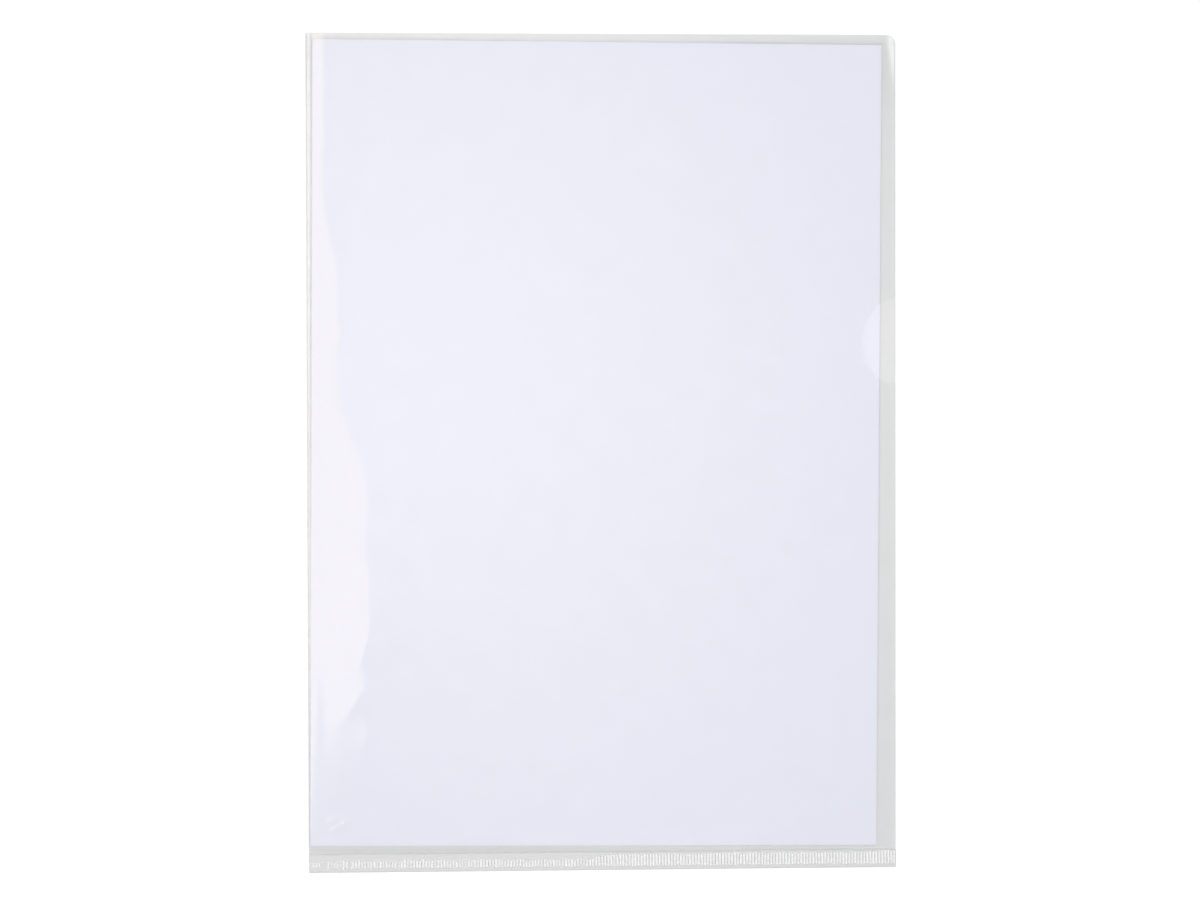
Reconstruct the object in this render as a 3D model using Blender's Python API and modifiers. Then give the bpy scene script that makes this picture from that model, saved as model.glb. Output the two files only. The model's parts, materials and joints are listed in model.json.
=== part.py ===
"""Clear plastic document folder, folded on the left and welded along the bottom, holding a sheet of paper.

The folder lies on its back: X runs across the page, Y up the page and Z through the stack of film and paper.
The origin is at the middle of the footprint, on the surface that the folder lies on. Units are metres.
"""

import math

import bmesh
import bpy
from mathutils import Matrix, Vector

MM = 0.001

# Sheet of paper, which lies a little askew in the pocket
PAPER_WIDTH = 210.0 * MM
PAPER_HEIGHT = 297.0 * MM
PAPER_THICKNESS = 0.1 * MM
PAPER_TURN = math.radians(-0.4)

# Film, and the gap left between two pieces that meet
FILM = 0.2 * MM
CLEARANCE = 0.3 * MM

# Film that stands past the sheet's outermost corners on the open sides
OPEN_SIDE_MARGIN = 5.2 * MM
TOP_MARGIN = 2.2 * MM

# Welded seam, and the shoulder by which the front sheet comes down to it
WELD_HEIGHT = 6.6 * MM
SHOULDER_WIDTH = 1.45 * MM
SHOULDER_STEPS = 6

# Ribs pressed into the seam: the grooves between them, and the plain band below them
RIB_PITCH = 1.11 * MM
RIB_LENGTH = 4.5 * MM
RIB_FOOT = 1.5 * MM
RIB_END_MARGIN = 0.9 * MM
GROOVE_WIDTH = 0.62 * MM
GROOVE_DEPTH = 0.16 * MM
RIBS_TO_A_FACE = 8

# Free corner of both sheets, and the front sheet's edge, cut a little short of the back's
CORNER_RADIUS = 3.3 * MM
CORNER_STEPS = 8
FRONT_SETBACK = 0.5 * MM

# Thumb notch: half an ellipse, centred on the front sheet's open edge
NOTCH_FROM_TOP = 113.4 * MM
NOTCH_DEPTH = 12.1 * MM
NOTCH_HALF_HEIGHT = 15.6 * MM
NOTCH_SEGMENTS = 48

# Bend line of the front sheet: the film that stays down beside the fold and above the seam
BEND_FROM_FOLD = 10.0 * MM
BEND_FROM_WELD = 10.0 * MM

FOLD_STEPS = 12

# Heights in the stack, from the surface up
PAPER_BOTTOM = FILM + CLEARANCE
FRONT_BOTTOM = PAPER_BOTTOM + PAPER_THICKNESS + CLEARANCE
STACK_HEIGHT = FRONT_BOTTOM + FILM
BACK_LEVEL = FILM / 2
WELDED_FRONT_LEVEL = FILM + FILM / 2
FRONT_LEVEL = STACK_HEIGHT - FILM / 2
WELD_THICKNESS = 2 * FILM

# Outline of the folder, from the sheet that it holds
TURN_SINE = abs(math.sin(PAPER_TURN))
TURN_COSINE = math.cos(PAPER_TURN)
PAPER_SPAN_X = PAPER_WIDTH * TURN_COSINE + PAPER_HEIGHT * TURN_SINE
PAPER_SPAN_Y = PAPER_HEIGHT * TURN_COSINE + PAPER_WIDTH * TURN_SINE
FOLD_SIDE_MARGIN = FILM + CLEARANCE
BOTTOM_MARGIN = WELD_HEIGHT + CLEARANCE + SHOULDER_WIDTH
FOLDER_WIDTH = FOLD_SIDE_MARGIN + PAPER_SPAN_X + OPEN_SIDE_MARGIN
FOLDER_HEIGHT = BOTTOM_MARGIN + PAPER_SPAN_Y + TOP_MARGIN

# Lines that several pieces share
LEFT = -FOLDER_WIDTH / 2
RIGHT = FOLDER_WIDTH / 2
BOTTOM = -FOLDER_HEIGHT / 2
TOP = FOLDER_HEIGHT / 2
FOLD_RADIUS = STACK_HEIGHT / 2
FOLD_AXIS_X = LEFT + FOLD_RADIUS
PANEL_LEFT = FOLD_AXIS_X + CLEARANCE
PANEL_BOTTOM = BOTTOM + WELD_HEIGHT + CLEARANCE
SHOULDER_TOP = PANEL_BOTTOM + SHOULDER_WIDTH
FRONT_RIGHT = RIGHT - FRONT_SETBACK

# Bend line from the top edge, near the fold, to the open side, near the seam
BEND_START = Vector((PANEL_LEFT + BEND_FROM_FOLD, TOP, FRONT_LEVEL))
BEND_END = Vector((FRONT_RIGHT, SHOULDER_TOP + BEND_FROM_WELD, FRONT_LEVEL))
BEND_MIDDLE = (BEND_START + BEND_END) / 2
BEND_AXIS = (BEND_END - BEND_START).normalized()
BEND_NORMAL = Vector((-BEND_AXIS.y, BEND_AXIS.x, 0.0))

CLEAR_FILM = (0.93, 0.94, 0.94, 1.0)
PAPER_WHITE = (0.90, 0.91, 0.97, 1.0)
FILM_IOR = 1.49


def clear_scene():
    """Remove every object of the scene that the script starts in."""
    for thing in list(bpy.data.objects):
        bpy.data.objects.remove(thing, do_unlink=True)


def new_collection(name):
    """Return a new collection under the scene."""
    collection = bpy.data.collections.new(name)
    bpy.context.scene.collection.children.link(collection)
    return collection


def new_object(name, shape, collection, material=None, location=(0.0, 0.0, 0.0)):
    """Turn a bmesh into a named object and free the bmesh."""
    mesh = bpy.data.meshes.new(name)
    bmesh.ops.recalc_face_normals(shape, faces=shape.faces)
    shape.to_mesh(mesh)
    shape.free()
    thing = bpy.data.objects.new(name, mesh)
    thing.location = location
    collection.objects.link(thing)
    if material:
        mesh.materials.append(material)
    return thing


def plastic(name, roughness):
    """Material of clear film."""
    material = bpy.data.materials.new(name)
    material.use_nodes = True
    shader = material.node_tree.nodes["Principled BSDF"]
    shader.inputs["Base Color"].default_value = CLEAR_FILM
    shader.inputs["Roughness"].default_value = roughness
    shader.inputs["Metallic"].default_value = 0.0
    shader.inputs["IOR"].default_value = FILM_IOR
    shader.inputs["Transmission Weight"].default_value = 1.0
    return material


def paper_stock(name):
    """Material of uncoated white paper."""
    material = bpy.data.materials.new(name)
    material.use_nodes = True
    shader = material.node_tree.nodes["Principled BSDF"]
    shader.inputs["Base Color"].default_value = PAPER_WHITE
    shader.inputs["Roughness"].default_value = 0.85
    shader.inputs["Metallic"].default_value = 0.0
    return material


def give_thickness(sheet):
    """Turn a sheet's middle surface into film of its full thickness."""
    wall = sheet.modifiers.new("film thickness", "SOLIDIFY")
    wall.thickness = FILM
    wall.offset = 0.0
    wall.use_even_offset = True


def rectangle(left, right, bottom, top, level, rows=1):
    """Bmesh of a flat rectangle, with its rows of faces up the page."""
    shape = bmesh.new()
    bmesh.ops.create_grid(shape, x_segments=1, y_segments=rows, size=0.5)
    bmesh.ops.scale(shape, verts=shape.verts, vec=(right - left, top - bottom, 1.0))
    middle = Vector(((left + right) / 2, (bottom + top) / 2, level))
    bmesh.ops.translate(shape, verts=shape.verts, vec=middle)
    return shape


def round_free_corner(shape):
    """Round the corner of a flat sheet that is furthest up and to the right."""
    corner = max(shape.verts, key=lambda vertex: vertex.co.x + vertex.co.y)
    bmesh.ops.bevel(
        shape,
        geom=[corner],
        offset=CORNER_RADIUS,
        segments=CORNER_STEPS,
        profile=0.5,
        affect="VERTICES",
        material=-1,
    )


def cut_along_bend(shape, keep_free_corner):
    """Cut a front sheet along the bend line and keep the free corner or the held part."""
    side = 1.0 if keep_free_corner else -1.0
    bmesh.ops.bisect_plane(
        shape,
        geom=shape.verts[:] + shape.edges[:] + shape.faces[:],
        plane_co=BEND_MIDDLE + BEND_NORMAL * side * CLEARANCE / 2,
        plane_no=BEND_NORMAL * side,
        clear_inner=True,
    )


def make_back_panel(collection):
    """Back sheet, flat on the surface that the folder lies on."""
    shape = rectangle(PANEL_LEFT, RIGHT, PANEL_BOTTOM, TOP, BACK_LEVEL)
    round_free_corner(shape)
    panel = new_object("back_panel", shape, collection, plastic("back film", 0.08))
    give_thickness(panel)


def make_spine_fold(collection):
    """Fold along the left side: half a turn of film from the back sheet up to the front sheet."""
    shape = bmesh.new()
    ends = [shape.verts.new((FOLD_AXIS_X, y, BACK_LEVEL)) for y in (PANEL_BOTTOM, TOP)]
    line = shape.edges.new(ends)
    bmesh.ops.spin(
        shape,
        geom=[*ends, line],
        cent=(FOLD_AXIS_X, 0.0, FOLD_RADIUS),
        axis=(0.0, 1.0, 0.0),
        angle=math.pi,
        steps=FOLD_STEPS,
    )
    fold = new_object("spine_fold", shape, collection, plastic("fold film", 0.1))
    give_thickness(fold)
    fold.data.shade_smooth()


def make_groove_cutter(collection, count, first_groove):
    """Row of lozenge bars, whose lower halves press the grooves between the ribs."""
    shape = bmesh.new()
    bmesh.ops.create_cone(shape, cap_ends=True, segments=4, radius1=0.5, radius2=0.5, depth=1.0)
    along_page = Matrix.Rotation(math.pi / 2, 3, "X")
    bmesh.ops.rotate(shape, verts=shape.verts, matrix=along_page)
    bmesh.ops.scale(shape, verts=shape.verts, vec=(GROOVE_WIDTH, RIB_LENGTH, 2 * GROOVE_DEPTH))
    first = Vector((first_groove, BOTTOM + RIB_FOOT + RIB_LENGTH / 2, WELD_THICKNESS))
    cutter = new_object("groove_cutter", shape, collection, location=first)
    row = cutter.modifiers.new("row of grooves", "ARRAY")
    row.count = count
    row.use_relative_offset = False
    row.use_constant_offset = True
    row.constant_offset_displace = (RIB_PITCH, 0.0, 0.0)
    cutter.hide_render = True
    cutter.display_type = "WIRE"
    return cutter


def make_bottom_weld(collection, cutters):
    """Seam along the bottom, where both sheets are fused into one band with pressed ribs.

    The band is divided on every few ribs, so that none of its facets runs the whole length of the seam.
    """
    count = int((FOLDER_WIDTH - 2 * RIB_END_MARGIN - GROOVE_WIDTH) / RIB_PITCH) + 1
    first_groove = -RIB_PITCH * (count - 1) / 2
    shape = bmesh.new()
    bmesh.ops.create_cube(shape, size=1.0)
    bmesh.ops.scale(shape, verts=shape.verts, vec=(FOLDER_WIDTH, WELD_HEIGHT, WELD_THICKNESS))
    for index in range(RIBS_TO_A_FACE, count, RIBS_TO_A_FACE):
        on_rib = first_groove + RIB_PITCH * (index - 0.5)
        bmesh.ops.bisect_plane(
            shape,
            geom=shape.verts[:] + shape.edges[:] + shape.faces[:],
            plane_co=(on_rib, 0.0, 0.0),
            plane_no=(1.0, 0.0, 0.0),
        )
    middle = (0.0, BOTTOM + WELD_HEIGHT / 2, WELD_THICKNESS / 2)
    weld = new_object("bottom_weld", shape, collection, plastic("weld film", 0.3), middle)
    press = weld.modifiers.new("pressed grooves", "BOOLEAN")
    press.operation = "DIFFERENCE"
    press.object = make_groove_cutter(cutters, count, first_groove)


def make_seam_shoulder(collection):
    """Strip of the front sheet that comes down from the sheet's own height to the seam."""
    shape = rectangle(PANEL_LEFT, FRONT_RIGHT, PANEL_BOTTOM, SHOULDER_TOP, FRONT_LEVEL, SHOULDER_STEPS)
    for vertex in shape.verts:
        share = (vertex.co.y - PANEL_BOTTOM) / SHOULDER_WIDTH
        ease = share * share * (3 - 2 * share)
        vertex.co.z = WELDED_FRONT_LEVEL + (FRONT_LEVEL - WELDED_FRONT_LEVEL) * ease
    shoulder = new_object("seam_shoulder", shape, collection, plastic("shoulder film", 0.1))
    give_thickness(shoulder)


def make_front_panel(collection):
    """Part of the front sheet that the fold and the seam hold, up to the bend line."""
    shape = rectangle(PANEL_LEFT, FRONT_RIGHT, SHOULDER_TOP + CLEARANCE, TOP, FRONT_LEVEL)
    cut_along_bend(shape, keep_free_corner=False)
    panel = new_object("front_panel", shape, collection, plastic("front film", 0.08))
    give_thickness(panel)


def make_notch_cutter(collection):
    """Elliptical punch for the thumb notch."""
    shape = bmesh.new()
    bmesh.ops.create_cone(
        shape, cap_ends=True, segments=NOTCH_SEGMENTS, radius1=1.0, radius2=1.0, depth=1.0
    )
    bmesh.ops.scale(shape, verts=shape.verts, vec=(NOTCH_DEPTH, NOTCH_HALF_HEIGHT, 4 * FILM))
    middle = (FRONT_RIGHT, TOP - NOTCH_FROM_TOP, FRONT_LEVEL)
    cutter = new_object("notch_cutter", shape, collection, location=middle)
    cutter.hide_render = True
    cutter.display_type = "WIRE"
    return cutter


def make_front_flap(collection, cutters):
    """Free corner of the front sheet, with the thumb notch. Its origin is on the bend line."""
    shape = rectangle(PANEL_LEFT, FRONT_RIGHT, SHOULDER_TOP, TOP, FRONT_LEVEL)
    cut_along_bend(shape, keep_free_corner=True)
    round_free_corner(shape)
    bmesh.ops.translate(shape, verts=shape.verts, vec=-BEND_MIDDLE)
    flap = new_object("front_flap", shape, collection, plastic("flap film", 0.08), BEND_MIDDLE)
    give_thickness(flap)
    punch = flap.modifiers.new("thumb notch", "BOOLEAN")
    punch.operation = "DIFFERENCE"
    punch.object = make_notch_cutter(cutters)


def make_paper_sheet(collection):
    """Sheet of paper, its lowest corners just clear of the fold and of the seam's shoulder."""
    shape = bmesh.new()
    bmesh.ops.create_cube(shape, size=1.0)
    bmesh.ops.scale(shape, verts=shape.verts, vec=(PAPER_WIDTH, PAPER_HEIGHT, PAPER_THICKNESS))
    middle = Vector(
        (
            LEFT + FOLD_SIDE_MARGIN + PAPER_SPAN_X / 2,
            BOTTOM + BOTTOM_MARGIN + PAPER_SPAN_Y / 2,
            PAPER_BOTTOM + PAPER_THICKNESS / 2,
        )
    )
    sheet = new_object("paper_sheet", shape, collection, paper_stock("white paper"), middle)
    sheet.rotation_euler.z = PAPER_TURN


def main():
    """Build the folder and the paper in it."""
    clear_scene()
    folder = new_collection("clear_plastic_folder")
    cutters = new_collection("cutters")
    make_back_panel(folder)
    make_spine_fold(folder)
    make_bottom_weld(folder, cutters)
    make_seam_shoulder(folder)
    make_front_panel(folder)
    make_front_flap(folder, cutters)
    make_paper_sheet(folder)


main()
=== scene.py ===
"""Clear plastic document folder with a sheet of paper in it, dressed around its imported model.

The folder lies on its back: X runs across the page, Y up the page and Z through the stack of film and
paper. Every length is in metres.
"""

from __future__ import annotations

import json
import logging
import math
import random
from collections.abc import Callable, Iterable
from dataclasses import dataclass, field
from enum import Enum

import bmesh
import bpy
from mathutils import Matrix, Vector, noise

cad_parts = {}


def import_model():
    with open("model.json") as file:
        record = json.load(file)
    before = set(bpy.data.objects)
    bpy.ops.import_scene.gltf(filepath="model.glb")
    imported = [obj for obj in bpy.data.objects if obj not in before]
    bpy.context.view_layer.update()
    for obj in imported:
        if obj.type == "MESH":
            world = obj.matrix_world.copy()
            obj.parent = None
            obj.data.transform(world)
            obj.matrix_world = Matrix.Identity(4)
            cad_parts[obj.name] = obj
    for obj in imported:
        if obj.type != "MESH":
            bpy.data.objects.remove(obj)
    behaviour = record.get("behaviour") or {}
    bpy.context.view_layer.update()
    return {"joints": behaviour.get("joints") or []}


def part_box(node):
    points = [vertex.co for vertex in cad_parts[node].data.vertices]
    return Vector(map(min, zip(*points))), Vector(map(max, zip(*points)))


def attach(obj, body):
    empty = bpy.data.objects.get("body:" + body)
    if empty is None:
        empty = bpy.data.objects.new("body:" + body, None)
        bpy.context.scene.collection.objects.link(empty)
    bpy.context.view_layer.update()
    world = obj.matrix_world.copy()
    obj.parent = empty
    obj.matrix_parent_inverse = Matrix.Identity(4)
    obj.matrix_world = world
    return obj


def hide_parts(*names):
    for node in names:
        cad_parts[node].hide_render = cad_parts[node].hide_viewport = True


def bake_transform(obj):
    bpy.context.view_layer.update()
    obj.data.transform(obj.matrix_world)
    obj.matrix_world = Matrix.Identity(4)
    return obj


log = logging.getLogger("folder")

MM = 0.001

Colour = tuple[float, float, float, float]

# Start of each stretch of cuts, and the step between the cuts in it
Cuts = tuple[tuple[float, float], ...]

WHITE: Colour = (1.0, 1.0, 1.0, 1.0)

# Blend at which a Layer Weight node's facing is one less the cosine of the angle of view
EVEN_BLEND = 0.5

# Points closer than this count as on a line
TOUCH = 1e-6

# Film faces that a ray may pass, one behind another
FILM_FACES = 32


class Body(Enum):
    """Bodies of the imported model."""

    FOLDER = "folder"
    CORNER = "corner"
    SHEET = "sheet"


class Slot(Enum):
    """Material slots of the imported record."""

    FILM = "clear_film"
    WELD = "welded_film"
    PAPER = "white_paper"


class Zone(Enum):
    """Material index of a part of a film sheet."""

    CLEAR = 0
    FOLDED = 1
    # A cut edge with painted shade
    SHADED_CUT_EDGE = 2


class Value:
    """A shader socket on which Python arithmetic adds Math nodes."""

    def __init__(self, graph: Graph, socket: bpy.types.NodeSocket) -> None:
        """Wrap an output socket of a graph."""
        self.graph = graph
        self.socket = socket

    def _math(self, operation: str, *values: Value | float) -> Value:
        """Result of a Math node, which takes the values in order."""
        return self.graph.add("ShaderNodeMath", {"operation": operation}, dict(enumerate(values)))

    def __add__(self, other: Value | float) -> Value:
        """Sum."""
        return self._math("ADD", self, other)

    __radd__ = __add__

    def __sub__(self, other: Value | float) -> Value:
        """Difference."""
        return self._math("SUBTRACT", self, other)

    def __rsub__(self, other: float) -> Value:
        """Difference from a number."""
        return self._math("SUBTRACT", other, self)

    def __mul__(self, other: Value | float) -> Value:
        """Product."""
        return self._math("MULTIPLY", self, other)

    __rmul__ = __mul__

    def __truediv__(self, other: Value | float) -> Value:
        """Quotient."""
        return self._math("DIVIDE", self, other)

    def __pow__(self, other: float) -> Value:
        """Power."""
        return self._math("POWER", self, other)

    def __lt__(self, other: Value | float) -> Value:
        """One where this is the smaller, and zero elsewhere."""
        return self._math("LESS_THAN", self, other)

    def larger(self, other: Value | float) -> Value:
        """The larger of the two."""
        return self._math("MAXIMUM", self, other)


class Graph:
    """Node tree of a material or of the world, cleared and filled by code."""

    def __init__(self, owner: bpy.types.Material | bpy.types.World) -> None:
        """Start an empty tree.

        Args:
            owner: The material or world to fill.
        """
        owner.use_nodes = True
        self.tree = owner.node_tree
        self.tree.nodes.clear()

    def add(
        self,
        kind: str,
        settings: dict[str, object] | None = None,
        inputs: dict[str | int, object] | None = None,
        output: str | int = 0,
    ) -> Value:
        """Add any node.

        Args:
            kind: The node's type.
            settings: Attributes of the node, set first. "stops" holds a ramp's positions and colours.
            inputs: Values or links of its sockets, by name or number.
            output: The socket to return, by name or number.

        Returns:
            The wrapped output, or the node's first one.
        """
        node = self.tree.nodes.new(kind)
        for name, setting in (settings or {}).items():
            if name == "stops":
                self._set_stops(node.color_ramp, setting)
            else:
                setattr(node, name, setting)
        for name, value in (inputs or {}).items():
            if isinstance(value, Value):
                self.tree.links.new(value.socket, node.inputs[name])
            else:
                node.inputs[name].default_value = value
        return Value(self, node.outputs[output]) if node.outputs else Value(self, None)

    @staticmethod
    def _set_stops(ramp: bpy.types.ColorRamp, stops: Iterable[tuple[float, Colour]]) -> None:
        """Set a ramp's stops.

        Args:
            ramp: The ramp, which has two stops at first.
            stops: Positions and colours, at least two.
        """
        wanted = list(stops)
        for position, _ in wanted[2:]:
            ramp.elements.new(position)
        for element, (position, colour) in zip(ramp.elements, wanted):
            element.position = position
            element.color = colour

    def coordinates(self) -> Value:
        """Place on the piece in metres, or a direction in the world."""
        return self.add("ShaderNodeTexCoord", output="Object")

    def noise(self, scale: float, detail: float = 2.0, roughness: float = 0.5) -> Value:
        """Soft noise around one half, with a scale in cells to a metre and a detail in octaves."""
        sockets = {"Vector": self.coordinates(), "Scale": scale, "Detail": detail, "Roughness": roughness}
        return self.add("ShaderNodeTexNoise", None, sockets, "Fac")

    def ramp(self, value: Value, stops: Iterable[tuple[float, Colour]]) -> Value:
        """Colour at a place along a ramp of positions and colours."""
        return self.add("ShaderNodeValToRGB", {"stops": stops}, {"Fac": value}, "Color")

    def span(self, value: Value, start: float, end: float) -> Value:
        """Smooth rise of a value, from zero at the start to one at the end."""
        sockets = {"Value": value, "From Min": start, "From Max": end}
        return self.add("ShaderNodeMapRange", {"interpolation_type": "SMOOTHSTEP"}, sockets)

    def blend_colour(self, share: Value, first: Value | Colour, second: Value | Colour) -> Value:
        """Mix of two colours, by the share of the second."""
        sockets = {"Factor": share, 6: first, 7: second}
        return self.add("ShaderNodeMix", {"data_type": "RGBA"}, sockets, 2)

    def attribute(self, name: str) -> Value:
        """A number kept on the piece's own points."""
        return self.add("ShaderNodeAttribute", {"attribute_name": name}, None, "Fac")

    def bump(self, height: Value, distance: float, strength: float = 1.0) -> Value:
        """Normal of a rough surface, with the distance in metres that one unit of height is."""
        sockets = {"Height": height, "Strength": strength, "Distance": distance}
        return self.add("ShaderNodeBump", None, sockets, "Normal")

    def mix(self, share: Value | float, first: Value, second: Value) -> Value:
        """Mix of two shaders, by the share of the second."""
        return self.add("ShaderNodeMixShader", None, {0: share, 1: first, 2: second})

    def ray(self, property_name: str) -> Value:
        """A property of the ray that looks at a place."""
        return self.add("ShaderNodeLightPath", None, None, property_name)

    def finish(self, shader: Value) -> None:
        """Link a shader to the material's output."""
        self.add("ShaderNodeOutputMaterial", None, {"Surface": shader})


@dataclass(frozen=True)
class FilmFinish:
    """Clear glossy film: what it mirrors and lets through, its faint haze, and shade painted on it by a
    number kept on its points.
    """

    name: str
    tint: Colour = (0.986, 0.986, 0.986, 1.0)
    head_on_mirror: float = 0.04
    glancing_mirror: float = 1.0
    glancing_power: float = 5.0
    roughness: float = 0.03
    haze: float = 0.015
    haze_colour: Colour = (0.95, 0.95, 0.95, 1.0)
    cloud_scale: float = 70.0
    ripple_height: float = 0.006 * MM
    shade_attribute: str = "shade"
    shade_share: float = 1.0
    shade_tint: Colour = (0.9, 0.9, 0.9, 1.0)

    def mirror_share(self, graph: Graph) -> Value:
        """Share of light that one face of the film mirrors, from head on to grazing.

        Args:
            graph: The material's graph.

        Returns:
            The share.
        """
        facing = graph.add("ShaderNodeLayerWeight", None, {"Blend": EVEN_BLEND}, "Facing")
        gain = self.glancing_mirror - self.head_on_mirror
        return self.head_on_mirror + gain * facing**self.glancing_power

    def film(self, graph: Graph) -> Value:
        """Shader of one face of the film.

        Args:
            graph: The material's graph.

        Returns:
            The shader.
        """
        cloud = graph.noise(self.cloud_scale)
        through = graph.add("ShaderNodeBsdfTransparent", None, {"Color": self.tint})
        milky = graph.add("ShaderNodeBsdfDiffuse", None, {"Color": self.haze_colour})
        ripple = graph.bump(cloud, self.ripple_height)
        gloss = {"Color": WHITE, "Roughness": self.roughness, "Normal": ripple}
        shine = graph.add("ShaderNodeBsdfAnisotropic", None, gloss)
        # The cloud is about one half on average, so it is doubled
        body = graph.mix(cloud * (2 * self.haze), through, milky)
        clear = graph.mix(self.mirror_share(graph), body, shine)
        # Painted shade: a darker clear film, mixed in where the points carry shade
        dark = graph.add("ShaderNodeBsdfTransparent", None, {"Color": self.shade_tint})
        return graph.mix(graph.attribute(self.shade_attribute) * self.shade_share, clear, dark)

    def material(self) -> bpy.types.Material:
        """Make the material.

        Returns:
            The new material.
        """
        material = bpy.data.materials.new(self.name)
        graph = Graph(material)
        graph.finish(self.film(graph))
        return material


@dataclass(frozen=True)
class WeldFinish(FilmFinish):
    """Fused film of the seam: clear, painted white on the pressed ribs as a highlight of the light their
    slopes catch, and with painted shade in the grooves.
    """

    tint: Colour = (0.968, 0.968, 0.968, 1.0)
    rib_highlight_colour: Colour = (0.97, 0.97, 0.98, 1.0)
    rib_highlight_cover: float = 0.95
    rib_attribute: str = "rib"
    rib_roughness: float = 0.3
    grain_roughness: float = 0.2
    grain_scale: float = 2600.0
    shade_share: float = 0.06
    shade_tint: Colour = (0.92, 0.92, 0.92, 1.0)

    def film(self, graph: Graph) -> Value:
        """Shader of the seam's faces.

        Args:
            graph: The material's graph.

        Returns:
            The shader.
        """
        grain = graph.noise(self.grain_scale)
        roughness = self.rib_roughness + self.grain_roughness * grain
        sockets = {"Base Color": self.rib_highlight_colour, "Roughness": roughness}
        # Painted highlight: white film on the ribs, where their slopes catch the light
        white = graph.add("ShaderNodeBsdfPrincipled", None, sockets)
        cover = graph.attribute(self.rib_attribute) * self.rib_highlight_cover
        return graph.mix(cover, super().film(graph), white)


@dataclass(frozen=True)
class PaperFinish:
    """Uncoated white office paper with a bluish white, faint clouds and fibres."""

    name: str
    thin: Colour = (0.865, 0.875, 0.974, 1.0)
    dense: Colour = (0.874, 0.884, 0.983, 1.0)
    thin_to_dense: tuple[float, float] = (0.3, 0.7)
    cloud_scale: float = 260.0
    cloud_detail: float = 4.0
    cloud_contrast: float = 0.6
    fibre_scale: float = 5200.0
    fibre_detail: float = 3.0
    fibre_contrast: float = 0.7
    fibre_share: float = 0.3
    fibre_height: float = 0.012 * MM
    fibre_strength: float = 0.6
    roughness: float = 0.8
    fibre_roughness: float = 0.15
    specular: float = 0.25

    def material(self) -> bpy.types.Material:
        """Make the material.

        Returns:
            The new material.
        """
        material = bpy.data.materials.new(self.name)
        graph = Graph(material)
        clouds = graph.noise(self.cloud_scale, self.cloud_detail, self.cloud_contrast)
        fibres = graph.noise(self.fibre_scale, self.fibre_detail, self.fibre_contrast)
        pulp = clouds * (1 - self.fibre_share) + fibres * self.fibre_share
        sockets = {
            "Base Color": graph.ramp(pulp, zip(self.thin_to_dense, (self.thin, self.dense))),
            "Roughness": self.roughness + self.fibre_roughness * fibres,
            "Specular IOR Level": self.specular,
            "Normal": graph.bump(fibres, self.fibre_height, self.fibre_strength),
        }
        graph.finish(graph.add("ShaderNodeBsdfPrincipled", None, sockets))
        return material


@dataclass(frozen=True)
class FolderPlan:
    """Lines and heights that the pieces share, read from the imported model."""

    left: float
    right: float
    bottom: float
    top: float
    fold_axis: float
    fold_radius: float
    seam_line: float
    shoulder_top: float
    front_right: float
    film: float
    back_level: float
    welded_level: float
    front_level: float
    weld_height: float
    paper_middle: Vector

    @classmethod
    def from_frame(cls) -> FolderPlan:
        """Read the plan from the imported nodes' boxes.

        Returns:
            The plan.
        """
        back_low, back_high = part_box("back_panel")
        fold_low, fold_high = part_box("spine_fold")
        weld_low, weld_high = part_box("bottom_weld")
        flap_low, flap_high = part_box("front_flap")
        paper_low, paper_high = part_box("paper_sheet")
        film = back_high.z - back_low.z
        return cls(
            left=weld_low.x,
            right=weld_high.x,
            bottom=weld_low.y,
            top=back_high.y,
            fold_axis=fold_high.x,
            fold_radius=(fold_high.z - fold_low.z) / 2,
            seam_line=weld_high.y,
            shoulder_top=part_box("seam_shoulder")[1].y,
            front_right=flap_high.x,
            film=film,
            back_level=back_low.z + film / 2,
            welded_level=weld_high.z - film / 2,
            front_level=flap_low.z + film / 2,
            weld_height=weld_high.z - weld_low.z,
            paper_middle=(paper_low + paper_high) / 2,
        )


def ease(share: float) -> float:
    """Smooth step from 0 to 1, flat at both ends."""
    held = min(max(share, 0.0), 1.0)
    return held * held * (3 - 2 * held)


def turned_up(past: float, soft: float) -> float:
    """Path that turns from level to a slope of one, rounded within a distance to each side of the turn.

    Args:
        past: Distance past the turn.
        soft: The distance over which it is rounded.

    Returns:
        The path's height.
    """
    if past <= -soft:
        return 0.0
    if past >= soft:
        return past
    return (past + soft) ** 2 / (4 * soft)


def lines(stretches: list[tuple[float, float]], end: float) -> list[float]:
    """Places of cuts.

    Args:
        stretches: Start and step of each stretch, which runs to the next one's start.
        end: Where the last stretch ends.

    Returns:
        The places in order, without the end.
    """
    ends = [start for start, _ in stretches[1:]] + [end]
    found: list[float] = []
    for (start, step), stop in zip(stretches, ends):
        count = max(1, round((stop - start) / step))
        found.extend(start + (stop - start) * index / count for index in range(count))
    return found


def new_piece(
    name: str, shape: bmesh.types.BMesh, materials: Iterable[bpy.types.Material]
) -> bpy.types.Object:
    """Turn a bmesh into a smooth piece at the origin, and free the bmesh.

    Args:
        name: The piece's name.
        shape: Its mesh, in place.
        materials: Its materials in order.

    Returns:
        The new object.
    """
    mesh = bpy.data.meshes.new(name)
    shape.to_mesh(mesh)
    shape.free()
    mesh.shade_smooth()
    for material in materials:
        mesh.materials.append(material)
    piece = bpy.data.objects.new(name, mesh)
    bpy.context.scene.collection.objects.link(piece)
    return piece


def give_thickness(piece: bpy.types.Object, thickness: float, offset: float = 0.0) -> None:
    """Give a sheet its wall. The faces round its edge take the sheet's last material.

    Args:
        piece: The sheet, as one surface.
        thickness: Its wall.
        offset: Where the surface is in the wall, from -1 at its top to 1 at its underside.
    """
    wall = piece.modifiers.new("thickness", "SOLIDIFY")
    wall.thickness = thickness
    wall.offset = offset
    wall.use_even_offset = True
    wall.material_offset_rim = len(Zone)


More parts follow.
